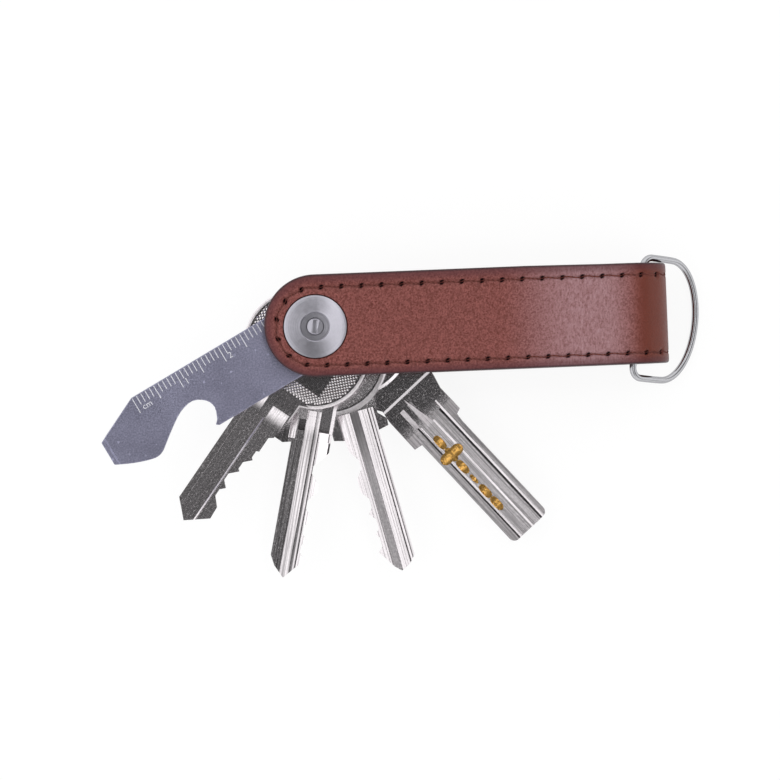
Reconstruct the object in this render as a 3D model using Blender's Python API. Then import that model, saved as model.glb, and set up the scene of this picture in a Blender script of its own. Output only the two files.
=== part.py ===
"""Key organiser: a folded leather strap that carries four keys and a multi-tool on one pivot bolt.

Lengths below are millimetres and angles are degrees. Meshes are scaled to metres as they are made.
The origin is on the pivot axis at the back of the strap. +X runs from the pivot to the fold,
+Z points out of the front of the strap, so the part lies on its back with +Z up.
"""

import math

import bmesh
import bpy
from mathutils import Matrix, Vector

MM = 0.001

# Strap: two layers of leather folded in half over the ring
STRAP_WIDTH = 20.25
STRAP_SHIFT_Y = 0.22
STRAP_TAPER = 0.2
TAPER_FROM_X = 42.0
TAPER_TO_X = 57.0
PIVOT_TO_FOLD = 70.5
OUTER_LEATHER = 1.5
LINING_LEATHER = 1.0
GLUE_LINE = 0.1
LEATHER_HOLE = 5.6

# Seam: a needle thread in a groove all round the outside, and a bobbin thread that lies on the lining
SEAM_FROM_PIVOT = 7.75
THREAD_RADIUS = 0.25
THREAD_DEPTH = 0.3
GROOVE_RADIUS = 0.55
BOBBIN_RADIUS = 0.15
BOBBIN_LIFT = 0.05

# Pivot bolt, its front disc and the spacer washers
HEAD_DIAMETER = 12.5
HEAD_THICKNESS = 0.9
HEAD_RECESS = 1.0
HEAD_CLEARANCE = 0.3
SHANK_DIAMETER = 5.0
BOLT_CHAMFER = 0.2
STUD_DIAMETER = 3.2
STUD_HOLE = 3.6
STUD_PROUD = 0.6
STUD_RIDGE_WIDTH = 1.2
STUD_SLOPE_DEPTH = 0.55
STUD_TURN = -12.0
DISC_RIM_PROUD = 0.1
DISC_CROWN = 0.3
DISC_RIM_CHAMFER = 0.25
DISC_SPOTFACE = 5.7
DISC_SPOTFACE_DEPTH = 0.2
DISC_SPOTFACE_CHAMFER = 0.15
WASHER_BORE = 5.4
WASHER_DIAMETER = 9.0
WASHER_THICKNESS = 0.3
STACK_GAP = 0.1

# Pieces on the bolt from the back to the front: name, thickness and swing angle in the strap's frame
STACK = (
    ("key_d", 2.4, 310.8),
    ("key_c", 2.0, 283.7),
    ("key_b", 2.0, 257.5),
    ("key_a", 2.0, 233.4),
    ("multi_tool", 1.5, 208.6),
)
PIECE_BORE = 5.5

# Multi-tool
TOOL_LOW_EDGE = -6.7
TOOL_HIGH_EDGE = 6.9
TOOL_RULER_END = 38.7
TOOL_TIP_X = 48.4
TOOL_TIP_LOW = -2.1
TOOL_TIP_HIGH = 3.0
TOOL_TIP_BEVEL = 0.5
TOOL_TIP_BEVEL_LENGTH = 1.0

# Keys: grooves milled along the blades, sunk parts of the bows, and the dimple key's row of pits
GROOVE_DEPTH = 0.4
FINE_GROOVE_DEPTH = 0.2
BLADE_STEP = 0.25
MILL_DEPTH = 0.5
RUNOUT_LENGTH = 4.5
RUNOUT_STEPS = 6
BOW_RECESS = 0.2
BOW_STEP = 0.15
RING_BAND_GAP = 20
PIT_COUNT = 6
PIT_FIRST_X = 33.9
PIT_PITCH = 3.35
PIT_Y = 2.35
PIT_LENGTH = 3.1
PIT_WIDTH = 1.5
PIT_DEPTH = 0.25
BIG_PIT_INDEX = 1
BIG_PIT_RADIUS = 1.15
SMALL_PIT_INDEX = 3
SMALL_PIT_LENGTH = 0.9

# Ring: round wire bent to a D, loose in the fold
RING_WIRE = 1.5
RING_LENGTH = 24.3
RING_DEPTH = 14.8
RING_BAR_CORNER = 2.2
RING_LEG = 7.3
RING_BAR_X = 64.5
RING_SHIFT_Y = -0.5
RING_SKEW = 7.9
RING_DROOP = 33.7

ARC_STEP = 9.0
PIT_STEP = 30.0
ROUND_SEGMENTS = 48
BORE_SEGMENTS = 32

# Turns that lay a section drawn in XY along a blade, or across it
ALONG_BLADE = Matrix(((0, 0, 1, 0), (1, 0, 0, 0), (0, 1, 0, 0), (0, 0, 0, 1)))
ACROSS_BLADE = Matrix(((1, 0, 0, 0), (0, 0, 1, 0), (0, 1, 0, 0), (0, 0, 0, 1)))

LIMB = OUTER_LEATHER + GLUE_LINE + LINING_LEATHER
STACK_HEIGHT = sum(thickness for _, thickness, _ in STACK)
GAP_HEIGHT = STACK_HEIGHT + (len(STACK) + 1) * WASHER_THICKNESS + 2 * (len(STACK) + 1) * STACK_GAP
STRAP_HEIGHT = 2 * LIMB + GAP_HEIGHT
FOLD_RADIUS = STRAP_HEIGHT / 2
FOLD_CENTRE_X = PIVOT_TO_FOLD - FOLD_RADIUS
HALF_WIDTH = STRAP_WIDTH / 2


def clear_scene():
    """Remove every object that is in the scene."""
    for item in list(bpy.data.objects):
        bpy.data.objects.remove(item, do_unlink=True)


def finish(name, colour, roughness, metallic):
    """One Principled material."""
    material = bpy.data.materials.new(name)
    material.use_nodes = True
    shader = material.node_tree.nodes["Principled BSDF"]
    shader.inputs["Base Color"].default_value = (*colour, 1.0)
    shader.inputs["Roughness"].default_value = roughness
    shader.inputs["Metallic"].default_value = metallic
    return material


def pivot_empty(name, location, rotation):
    """An empty on a joint axis, for the moving piece to hang on."""
    empty = bpy.data.objects.new(name, None)
    empty.location = [value * MM for value in location]
    empty.rotation_euler = rotation
    empty.empty_display_size = 5 * MM
    bpy.context.collection.objects.link(empty)
    return empty


def add_object(name, bm, material=None, parent=None, smooth_angle=None):
    """Turn a bmesh in millimetres into a named object in metres."""
    bmesh.ops.scale(bm, vec=(MM, MM, MM), verts=bm.verts)
    bmesh.ops.recalc_face_normals(bm, faces=bm.faces)
    mesh = bpy.data.meshes.new(name)
    bm.to_mesh(mesh)
    bm.free()
    if material:
        mesh.materials.append(material)
    if smooth_angle:
        mesh.shade_smooth()
        mesh.set_sharp_from_angle(angle=math.radians(smooth_angle))
    item = bpy.data.objects.new(name, mesh)
    bpy.context.collection.objects.link(item)
    item.parent = parent
    return item


def boolean(target, cutter, operation="DIFFERENCE"):
    """Cut a target, or keep what it shares, with a cutter that stays hidden."""
    cutter.hide_render = True
    cutter.display_type = "WIRE"
    modifier = target.modifiers.new(cutter.name, "BOOLEAN")
    modifier.operation = operation
    modifier.solver = "EXACT"
    modifier.object = cutter


def arc(centre, radius, start, end, step_angle=ARC_STEP):
    """Points along an arc, both ends included, angles in degrees."""
    steps = max(2, math.ceil(abs(end - start) / step_angle))
    angles = [math.radians(start + (end - start) * step / steps) for step in range(steps + 1)]
    return [(centre[0] + radius * math.cos(a), centre[1] + radius * math.sin(a)) for a in angles]


def curve_through(points, steps=3):
    """A smooth line through points: Catmull-Rom, with its end points doubled."""
    padded = [points[0], *points, points[-1]]
    line = []
    for a, b, c, d in zip(padded, padded[1:], padded[2:], padded[3:]):
        for step in range(steps):
            t = step / steps
            line.append(tuple(
                0.5 * (2 * q + (r - p) * t + (2 * p - 5 * q + 4 * r - s) * t**2
                       + (3 * q - p - 3 * r + s) * t**3)
                for p, q, r, s in zip(a, b, c, d)))
    line.append(points[-1])
    return line


def prism(bm, outline, low, high):
    """Add a closed outline in XY, pulled from one height to another."""
    bottom = [bm.verts.new((x, y, low)) for x, y in outline]
    face = bm.faces.new(bottom)
    pulled = bmesh.ops.extrude_face_region(bm, geom=[face])
    top = [item for item in pulled["geom"] if isinstance(item, bmesh.types.BMVert)]
    bmesh.ops.translate(bm, verts=top, vec=(0, 0, high - low))


def turned(bm, profile, segments=ROUND_SEGMENTS):
    """Add a solid turned about Z from a closed profile of (radius, height); radius 0 is a pole."""
    rings = []
    for radius, height in profile:
        if radius == 0:
            rings.append([bm.verts.new((0, 0, height))])
            continue
        angles = [2 * math.pi * step / segments for step in range(segments)]
        rings.append([bm.verts.new((radius * math.cos(a), radius * math.sin(a), height)) for a in angles])
    for ring, following in zip(rings, rings[1:] + rings[:1]):
        if len(ring) == 1 and len(following) == 1:
            continue
        for step in range(segments):
            after = (step + 1) % segments
            corners = [ring[step % len(ring)], ring[after % len(ring)],
                       following[after % len(following)], following[step % len(following)]]
            bm.faces.new(list(dict.fromkeys(corners)))


def swept(bm, path, normals, radius, sides):
    """Add a closed round loop along a path; each normal fixes the turn of its section."""
    rings = []
    count = len(path)
    for index in range(count):
        along = (path[(index + 1) % count] - path[index - 1]).normalized()
        up = (normals[index] - along * normals[index].dot(along)).normalized()
        side = along.cross(up)
        angles = [2 * math.pi * step / sides for step in range(sides)]
        rings.append([bm.verts.new(path[index] + (up * math.cos(a) + side * math.sin(a)) * radius)
                      for a in angles])
    for ring, following in zip(rings, rings[1:] + rings[:1]):
        for step in range(sides):
            after = (step + 1) % sides
            bm.faces.new((ring[step], ring[after], following[after], following[step]))


def folded_layer(name, depth, thickness, material):
    """One layer of the strap: a U in side view, trimmed to the strap's plan."""
    high = STRAP_HEIGHT - depth
    outside = FOLD_RADIUS - depth
    inside = outside - thickness
    centre = (FOLD_CENTRE_X, FOLD_RADIUS)
    end = -STRAP_WIDTH
    side = [(end, depth), *arc(centre, outside, -90, 90), (end, high),
            (end, high - thickness), *arc(centre, inside, 90, -90), (end, depth + thickness)]
    bm = bmesh.new()
    prism(bm, side, -STRAP_WIDTH, STRAP_WIDTH)
    bmesh.ops.rotate(bm, verts=bm.verts, cent=(0, 0, 0), matrix=Matrix.Rotation(math.radians(90), 3, "X"))
    layer = add_object(name, bm, material, smooth_angle=30)

    far_edge = STRAP_SHIFT_Y + HALF_WIDTH
    plan = [(2 * PIVOT_TO_FOLD, STRAP_SHIFT_Y - HALF_WIDTH), (2 * PIVOT_TO_FOLD, far_edge - STRAP_TAPER),
            (TAPER_TO_X, far_edge - STRAP_TAPER), (TAPER_FROM_X, far_edge),
            *arc((0, STRAP_SHIFT_Y), HALF_WIDTH, 90, 270)]
    bm = bmesh.new()
    prism(bm, plan, -STRAP_HEIGHT, 2 * STRAP_HEIGHT)
    boolean(layer, add_object(name + "_plan", bm), "INTERSECT")
    return layer


def seam_path(depth):
    """The seam's closed path at a depth below the leather, with the leather's normal at each point."""
    path = []
    normals = []

    def limb(height, up, start, end):
        for x, y in [(FOLD_CENTRE_X, SEAM_FROM_PIVOT * math.sin(math.radians(start))),
                     *arc((0, 0), SEAM_FROM_PIVOT, start, end),
                     (FOLD_CENTRE_X, SEAM_FROM_PIVOT * math.sin(math.radians(end)))]:
            path.append(Vector((x, y, height)))
            normals.append(Vector((0, 0, up)))

    def fold(y, start, end):
        for x, z in arc((FOLD_CENTRE_X, FOLD_RADIUS), FOLD_RADIUS - depth, start, end)[1:-1]:
            path.append(Vector((x, y, z)))
            normals.append(Vector((x - FOLD_CENTRE_X, 0, z - FOLD_RADIUS)).normalized())

    limb(STRAP_HEIGHT - depth, 1, 90, 270)
    fold(-SEAM_FROM_PIVOT, 90, -90)
    limb(depth, -1, 270, 90)
    fold(SEAM_FROM_PIVOT, -90, 90)
    return path, normals


def seam_loop(name, depth, radius, sides, material=None):
    """A round loop that follows the seam at a depth below the outside of the leather."""
    path, normals = seam_path(depth)
    bm = bmesh.new()
    swept(bm, path, normals, radius, sides)
    return add_object(name, bm, material, smooth_angle=80)


def make_strap(outer_finish, lining_finish, thread_finish):
    """Outer leather with its sunk bolt heads, the lining, and the two threads of the seam."""
    outer = folded_layer("strap_outer", 0, OUTER_LEATHER, outer_finish)
    lining = folded_layer("strap_lining", OUTER_LEATHER + GLUE_LINE, LINING_LEATHER, lining_finish)

    hole = LEATHER_HOLE / 2
    sunk = HEAD_DIAMETER / 2 + HEAD_CLEARANCE
    top = STRAP_HEIGHT + 1
    bm = bmesh.new()
    turned(bm, [(0, -1), (sunk, -1), (sunk, HEAD_RECESS), (hole, HEAD_RECESS),
                (hole, STRAP_HEIGHT - HEAD_RECESS), (sunk, STRAP_HEIGHT - HEAD_RECESS),
                (sunk, top), (0, top)])
    boolean(outer, add_object("outer_bore", bm))
    bm = bmesh.new()
    turned(bm, [(0, -1), (hole, -1), (hole, top), (0, top)])
    boolean(lining, add_object("lining_bore", bm))

    boolean(outer, seam_loop("seam_groove", THREAD_DEPTH, GROOVE_RADIUS, 8))
    seam_loop("needle_thread", THREAD_DEPTH, THREAD_RADIUS, 6, thread_finish)
    seam_loop("bobbin_thread", LIMB + BOBBIN_LIFT + BOBBIN_RADIUS, BOBBIN_RADIUS, 6, thread_finish)


def make_bolt(bolt_finish, disc_finish):
    """Pivot bolt with a plain flat head at the back, and the disc that screws on its front end."""
    head = HEAD_DIAMETER / 2
    shank = SHANK_DIAMETER / 2
    stud = STUD_DIAMETER / 2
    shoulder = STRAP_HEIGHT - HEAD_RECESS
    end = STRAP_HEIGHT + STUD_PROUD
    bm = bmesh.new()
    turned(bm, [(0, 0), (head - BOLT_CHAMFER, 0), (head, BOLT_CHAMFER), (head, HEAD_THICKNESS),
                (shank, HEAD_THICKNESS), (shank, shoulder), (stud, shoulder), (stud, end - BOLT_CHAMFER),
                (stud - BOLT_CHAMFER, end), (0, end)])
    bolt = add_object("pivot_bolt", bm, bolt_finish, smooth_angle=30)
    bm = bmesh.new()
    for side in (-1, 1):
        ridge = side * STUD_RIDGE_WIDTH / 2
        outside = side * STUD_DIAMETER
        prism(bm, [(ridge, end), (side * stud, end - STUD_SLOPE_DEPTH), (outside, end - STUD_SLOPE_DEPTH),
                   (outside, end + 1), (ridge, end + 1)], -STUD_DIAMETER, STUD_DIAMETER)
    turn = Matrix.Rotation(math.radians(STUD_TURN), 3, "Z") @ Matrix.Rotation(math.radians(90), 3, "X")
    bmesh.ops.rotate(bm, verts=bm.verts, cent=(0, 0, 0), matrix=turn)
    boolean(bolt, add_object("stud_slopes", bm))

    low = shoulder + STACK_GAP
    rim = STRAP_HEIGHT + DISC_RIM_PROUD
    bore = STUD_HOLE / 2
    spot = DISC_SPOTFACE / 2
    crown = rim + DISC_CROWN
    bm = bmesh.new()
    turned(bm, [(bore, low), (head, low), (head, rim - DISC_RIM_CHAMFER), (head - DISC_RIM_CHAMFER, rim),
                (spot + DISC_SPOTFACE_CHAMFER, crown), (spot, crown - DISC_SPOTFACE_DEPTH),
                (bore, crown - DISC_SPOTFACE_DEPTH)])
    add_object("front_disc", bm, disc_finish, smooth_angle=20)


def make_washers(material):
    """Thin washers that keep the pieces on the bolt apart; returns each piece's lowest height."""
    heights = {}
    level = LIMB
    names = [name for name, _, _ in STACK] + [None]
    thicknesses = [thickness for _, thickness, _ in STACK] + [0]
    for index, (name, thickness) in enumerate(zip(names, thicknesses)):
        level += STACK_GAP
        bm = bmesh.new()
        over = level + WASHER_THICKNESS
        turned(bm, [(WASHER_BORE / 2, level), (WASHER_DIAMETER / 2, level), (WASHER_DIAMETER / 2, over),
                    (WASHER_BORE / 2, over)], segments=BORE_SEGMENTS)
        add_object(f"spacer_washer_{index + 1}", bm, material, smooth_angle=30)
        level += WASHER_THICKNESS + STACK_GAP
        heights[name] = level
        level += thickness
    return heights


def bitting(cuts, crest, flat, slope, side):
    """The cut edge of a key: flat roots at (x, y) joined by sloping flanks, none past the crest."""
    points = []
    for (x, root), (next_x, next_root) in zip(cuts, cuts[1:]):
        leave = x + flat / 2
        reach = next_x - flat / 2
        low = side * root
        next_low = side * next_root
        top = side * crest
        points += [(x - flat / 2, root), (leave, root)]
        peak_x = ((next_low - low) / slope + leave + reach) / 2
        peak = low + slope * (peak_x - leave)
        if peak > top:
            points += [(leave + (top - low) / slope, crest), (reach - (top - next_low) / slope, crest)]
        else:
            points.append((peak_x, side * peak))
    last_x, last_root = cuts[-1]
    return points + [(last_x - flat / 2, last_root), (last_x + flat / 2, last_root)]


def round_bow(centre, radius, low, high):
    """A round bow's outline, counter-clockwise from the neck's high side to its low side."""
    start = math.degrees(math.asin((high - centre[1]) / radius))
    end = 360 + math.degrees(math.asin((low - centre[1]) / radius))
    return arc(centre, radius, start, end)


def oval_bow(centre, radius, half_gap, low, high):
    """A bow made of two round ends side by side, from the neck's high side to its low side."""
    upper = (centre[0], centre[1] + half_gap)
    lower = (centre[0], centre[1] - half_gap)
    start = math.degrees(math.asin((high - upper[1]) / radius))
    end = 360 + math.degrees(math.asin((low - lower[1]) / radius))
    return arc(upper, radius, start, 180) + arc(lower, radius, 180, end)


def milled(bm, section, start, end, thickness, across=False):
    """Add a cutter for each face: a section of (place, depth) points, pulled along a blade or across it."""
    turn = ACROSS_BLADE if across else ALONG_BLADE
    for face in (-1, 1):
        middle = thickness / 2
        points = [*section, (section[-1][0], -1), (section[0][0], -1)]
        outline = [(place, middle + face * (middle - depth)) for place, depth in points]
        before = set(bm.verts)
        prism(bm, outline, start, end)
        bmesh.ops.transform(bm, matrix=turn, verts=[vert for vert in bm.verts if vert not in before])


def runout(start, length, depth, end):
    """Section of a groove that leaves the surface slowly, in (place, depth) points."""
    steps = [step / RUNOUT_STEPS for step in range(RUNOUT_STEPS + 1)]
    return [*[(start + length * t, depth * t * (2 - t)) for t in steps], (end, depth)]


def stacked_piece(name, outline, heights, cutters, material, mills=()):
    """A flat piece on the bolt: a plate with its bore, its level cuts and its sloping cuts."""
    thickness = next(row[1] for row in STACK if row[0] == name)
    angle = next(row[2] for row in STACK if row[0] == name)
    pivot = pivot_empty(name + "_pivot", (0, 0, heights[name]), (0, 0, math.radians(angle)))
    bm = bmesh.new()
    prism(bm, outline, 0, thickness)
    piece = add_object(name, bm, material, pivot, smooth_angle=30)

    bm = bmesh.new()
    turned(bm, [(0, -1), (PIECE_BORE / 2, -1), (PIECE_BORE / 2, thickness + 1), (0, thickness + 1)],
           segments=BORE_SEGMENTS)
    boolean(piece, add_object(name + "_bore", bm, parent=pivot))
    for index, cut_outlines in enumerate(cutters):
        bm = bmesh.new()
        for cut, depth in cut_outlines:
            prism(bm, cut, thickness - depth, thickness + 1)
            prism(bm, cut, -1, depth)
        boolean(piece, add_object(f"{name}_cut_{index + 1}", bm, parent=pivot))
    for index, (section, start, end, across) in enumerate(mills):
        bm = bmesh.new()
        milled(bm, section, start, end, thickness, across)
        boolean(piece, add_object(f"{name}_mill_{index + 1}", bm, parent=pivot))


def groove(start, end, low, high):
    """Outline of one groove along a blade."""
    return [(start, low), (end, low), (end, high), (start, high)]


def make_tool(heights, material):
    """Flat multi-tool: ruler edge, driver tip and bottle-opener notch."""
    mid = (TOOL_LOW_EDGE + TOOL_HIGH_EDGE) / 2
    shoulder = curve_through([
        (TOOL_TIP_X, TOOL_TIP_HIGH), (44.8, 4.7), (41.4, 5.85), (39.7, 5.95), (38.5, 5.45)])
    notch = curve_through([
        (38.5, 5.45), (35, 2.8), (31.7, 0.7), (28.6, 0.05), (26.2, 1.4), (25.4, 3.4), (26.2, 5.7)])
    outline = [
        (0, TOOL_LOW_EDGE), (TOOL_RULER_END, TOOL_LOW_EDGE), (TOOL_TIP_X, TOOL_TIP_LOW),
        *shoulder, *notch[1:], (27.0, 6.5), (26.4, TOOL_HIGH_EDGE), (0, TOOL_HIGH_EDGE),
        *arc((0, mid), (TOOL_HIGH_EDGE - TOOL_LOW_EDGE) / 2, 90, 270)[1:-1]]
    bevel_start = TOOL_TIP_X - TOOL_TIP_BEVEL_LENGTH
    tip = [(bevel_start, -8.0), (TOOL_TIP_X + 1, -8.0), (TOOL_TIP_X + 1, 8.0), (bevel_start, 8.0)]
    stacked_piece("multi_tool", outline, heights, [[(tip, TOOL_TIP_BEVEL)]], material)


def make_key_a(heights, material):
    """Cylinder key with an oval bow and a sunk field on each side of it."""
    centre = (4.8, 0.95)
    spine = -3.45
    crest = 4.65
    neck_low = -4.7
    neck_high = 6.3
    cuts = [(27.9, 4.1), (31.2, 3.15), (34.7, 2.05), (38.3, 2.35)]
    outline = [
        (22.6, neck_low), (23.4, spine), (43.3, spine), (46.7, -0.1), (43.4, 4.1), (40.8, 3.95),
        *reversed(bitting(cuts, crest, 1.5, 1.0, 1)),
        (26.9, crest), (23.6, crest), (23.0, 5.5), (17.0, neck_high),
        *oval_bow(centre, 10.7, 2.1, neck_low, neck_high)]
    field_edge = 14.0
    field = [(min(x, field_edge), y) for x, y in oval_bow(centre, 9.8, 2.1, -3.0, 4.9)]
    blade = groove(20.8, 48.0, -8.0, 8.0)
    mills = [(runout(17.7, RUNOUT_LENGTH, MILL_DEPTH, 48.0), 1.85, 5.65, True),
             (runout(16.6, RUNOUT_LENGTH, MILL_DEPTH, 48.0), -2.2, 0.05, True),
             ([(0.05, MILL_DEPTH), (1.4, MILL_DEPTH), (1.7, BLADE_STEP)], 20.8, 48.0, False)]
    stacked_piece("key_a", outline, heights, [[(field, BOW_RECESS)], [(blade, BLADE_STEP)]], material, mills)


def make_key_b(heights, material):
    """Cylinder key with a round bow, a shoulder on each side and a stepped blade."""
    spine = -0.9
    neck_low = -4.6
    neck_high = 6.95
    cuts = [(28.2, 4.35), (35.3, 4.4), (40.4, 4.6), (44.3, 4.75)]
    outline = [
        (22.9, neck_low), (23.8, -2.6), (23.4, spine), (46.4, spine), (48.4, 0.2), (50.5, 2.3), (48.2, 4.25),
        (46.4, 5.95), *reversed(bitting(cuts, 6.0, 1.5, 0.75, 1)),
        (25.0, 6.5), (24.3, neck_high), *round_bow((5.3, 0.9), 10.3, neck_low, neck_high)]
    rebate = groove(18.5, 52.0, -1.5, 1.4)
    ribs = [(1.4, 0.5), (2.75, 0.22), (3.2, 0.07), (3.25, 0.2), (3.75, 0.17), (4.15, 0.04), (4.22, 0.14),
            (4.4, 0.14)]
    flank = [(4.4, 0.0), (6.6, 0.27)]
    mills = [(ribs, 16.6, 52.0, False), (flank, 20.6, 52.0, False)]
    stacked_piece("key_b", outline, heights, [[(rebate, GROOVE_DEPTH)]], material, mills)


def make_key_c(heights, material):
    """Cylinder key with a round bow that has a sunk ring, and cuts on its other edge."""
    centre = (6.4, 0.65)
    spine = 6.4
    neck_low = -2.9
    neck_high = 8.5
    cuts = [(28.9, 0.8), (36.9, 0.7), (41.3, 0.9), (45.0, 0.6)]
    outline = [
        (22.9, neck_low), (23.5, -0.75), (25.9, -0.6), *bitting(cuts, -0.55, 1.9, 0.8, -1), (46.9, -0.4),
        (48.6, 0.75), (50.5, 1.9), (51.7, 3.1), (50.8, 5.0), (49.2, spine), (23.2, spine), (22.8, neck_high),
        (21.4, neck_high + 0.1), (19.8, 7.1), *round_bow(centre, 12.0, neck_low, 7.1)]
    outer = arc(centre, 10.9, RING_BAND_GAP, 360 - RING_BAND_GAP)
    inner = arc(centre, 8.2, 360 - RING_BAND_GAP, RING_BAND_GAP)
    ribs = [(-1.0, 0.5), (0.5, 0.1), (0.57, 0.24), (1.25, 0.07), (1.32, 0.15), (1.6, 0.08), (1.65, 0.45),
            (3.35, 0.45), (3.4, 0.4), (4.15, 0.2), (4.22, 0.3), (4.65, 0.18), (4.72, 0.26), (5.17, 0.13),
            (5.22, 0.25), (5.45, 0.25), (5.5, 0.12), (5.85, 0.02), (5.9, 0.12), (6.05, 0.12), (6.45, 0.02)]
    mills = [(ribs, 18.4, 52.5, False)]
    stacked_piece("key_c", outline, heights, [[(outer + inner, BOW_RECESS)]], material, mills)


def make_key_d(heights, material):
    """Flat dimple key: straight blade with rounded end, long channels and a row of drilled pits."""
    low = -0.65
    high = 8.65
    tip = 58.95
    corner = 1.3
    neck_low = -2.35
    neck_high = 10.0
    outline = [
        (20.3, -2.6), (21.4, -1.9), (24.2, neck_low), (31.5, neck_low), (31.8, low), (tip - corner, low),
        *arc((tip - corner, low + corner), corner, -90, 0)[1:],
        *arc((tip - corner, high - corner), corner, 0, 90),
        (33.8, high), (32.0, high + 0.2), (31.6, neck_high), (25.8, 10.0), (23.2, 10.7),
        *round_bow((6.2, 3.9), 11.6, -4.4, 12.4)]
    bow_step = [(21.6, -0.01), (22.15, BOW_STEP), (tip + 2, BOW_STEP)]
    channel = [(28.4, 1.65), (tip + 1, 1.65), (tip + 1, 4.32), (29.4, 4.32), (28.4, 3.75)]
    channels = [(channel, GROOVE_DEPTH), (groove(28.7, tip + 1, 6.75, 7.2), GROOVE_DEPTH),
                (groove(28.9, tip + 1, 0.85, 1.2), FINE_GROOVE_DEPTH)]
    pits = []
    for index in range(PIT_COUNT):
        x = PIT_FIRST_X + PIT_PITCH * index
        length = SMALL_PIT_LENGTH if index == SMALL_PIT_INDEX else PIT_LENGTH
        width = min(length, PIT_WIDTH)
        pit = [(x + u * length / 2, PIT_Y + v * width / 2)
               for u, v in arc((0, 0), 1, 0, 360 - PIT_STEP, PIT_STEP)]
        if index == BIG_PIT_INDEX:
            pit = (arc((x, 4.05), BIG_PIT_RADIUS, 0, 180, PIT_STEP)
                   + arc((x, 0.85), BIG_PIT_RADIUS, 180, 360, PIT_STEP))
        pits.append((pit, GROOVE_DEPTH + PIT_DEPTH))
    mills = [(bow_step, -12.0, 18.0, True),
             ([(4.28, 0.39), (4.87, 0.1)], 29.6, tip + 2, False),
             ([(7.12, 0.38), (7.75, 0.1)], 27.0, tip + 2, False),
             ([(1.23, 0.12), (1.69, 0.22)], 29.2, tip + 2, False),
             (runout(21.9, 6.6, GROOVE_DEPTH - 0.02, 28.8), 2.55, 3.72, True),
             (runout(22.5, 6.2, GROOVE_DEPTH - 0.06, 29.0), 0.6, 1.62, True)]
    stacked_piece("key_d", outline, heights, [channels, pits], material, mills)


def ring_outline():
    """The ring's centre line in its own plane, X away from the bar: straight legs and half an ellipse."""
    half = RING_LENGTH / 2
    near = RING_BAR_CORNER
    bend = RING_DEPTH - RING_LEG
    far_side = [(RING_LEG + bend * x, half * y) for x, y in arc((0, 0), 1, -90, 90)]
    return [*far_side, *arc((near, half - near), near, 90, 180), *arc((near, near - half), near, 180, 270)]


def make_ring(material):
    """Wire ring, hung by its bar in the fold with its far side down on the table."""
    skew = Matrix.Rotation(math.radians(-RING_SKEW), 4, "Z")
    turn = skew @ Matrix.Rotation(math.radians(RING_DROOP), 4, "Y")
    pivot = pivot_empty("d_ring_pivot", (RING_BAR_X, RING_SHIFT_Y, FOLD_RADIUS), turn.to_euler())
    path = [Vector((x, y, 0)) for x, y in ring_outline()]
    bm = bmesh.new()
    swept(bm, path, [Vector((0, 0, 1))] * len(path), RING_WIRE / 2, 10)
    add_object("d_ring", bm, material, pivot, smooth_angle=80)


def main():
    """Build every piece."""
    clear_scene()
    outer = finish("saddle leather", (0.24, 0.08, 0.06), 0.5, 0.0)
    lining = finish("lining leather", (0.16, 0.07, 0.05), 0.75, 0.0)
    thread = finish("waxed thread", (0.05, 0.02, 0.02), 0.7, 0.0)
    steel = finish("turned steel", (0.56, 0.56, 0.58), 0.3, 1.0)
    disc = finish("turned disc steel", (0.58, 0.58, 0.6), 0.28, 1.0)
    washer = finish("washer nylon", (0.05, 0.05, 0.05), 0.6, 0.0)
    tool = finish("bead-blasted steel", (0.32, 0.32, 0.36), 0.45, 1.0)
    nickel = finish("nickel plate", (0.55, 0.53, 0.5), 0.25, 1.0)
    dimple_nickel = finish("bright nickel plate", (0.62, 0.6, 0.58), 0.22, 1.0)
    chrome = finish("polished ring wire", (0.6, 0.6, 0.62), 0.12, 1.0)

    make_strap(outer, lining, thread)
    make_bolt(steel, disc)
    heights = make_washers(washer)
    make_tool(heights, tool)
    make_key_a(heights, nickel)
    make_key_b(heights, nickel)
    make_key_c(heights, nickel)
    make_key_d(heights, dimple_nickel)
    make_ring(chrome)


main()
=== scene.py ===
"""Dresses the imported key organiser: leather, stitching, turned and plated metal, floor, light and camera.

The script is laid out as an add-on. Lengths in the settings are metres; traced numbers in the code are
millimetres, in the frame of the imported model: the pivot axis is Z, and +X runs from the pivot to the fold.
"""

import math

import bpy
import numpy as np
from bpy.props import FloatProperty, FloatVectorProperty, PointerProperty
from mathutils import Matrix, Vector


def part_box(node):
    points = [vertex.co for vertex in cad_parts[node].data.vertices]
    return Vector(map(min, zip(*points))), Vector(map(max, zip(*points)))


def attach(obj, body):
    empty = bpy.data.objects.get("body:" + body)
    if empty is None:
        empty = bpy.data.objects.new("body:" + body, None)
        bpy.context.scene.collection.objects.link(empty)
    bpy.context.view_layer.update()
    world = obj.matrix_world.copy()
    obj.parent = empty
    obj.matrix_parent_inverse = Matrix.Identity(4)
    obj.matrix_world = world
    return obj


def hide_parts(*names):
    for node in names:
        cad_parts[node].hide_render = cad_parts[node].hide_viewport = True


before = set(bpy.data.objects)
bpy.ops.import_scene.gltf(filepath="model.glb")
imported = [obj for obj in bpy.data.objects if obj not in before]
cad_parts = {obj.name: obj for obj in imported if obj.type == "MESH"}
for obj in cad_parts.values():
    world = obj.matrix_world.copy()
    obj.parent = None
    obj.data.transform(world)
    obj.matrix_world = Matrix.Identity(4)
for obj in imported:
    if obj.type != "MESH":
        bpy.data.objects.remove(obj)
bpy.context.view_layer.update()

bl_info = {
    "name": "Key organiser",
    "version": (1, 0, 0),
    "blender": (4, 5, 0),
    "location": "3D View > Sidebar > Organiser",
    "description": "Builds the leather, metal and studio of a key organiser round its packed model",
    "category": "Object",
}

MM = 0.001

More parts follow.
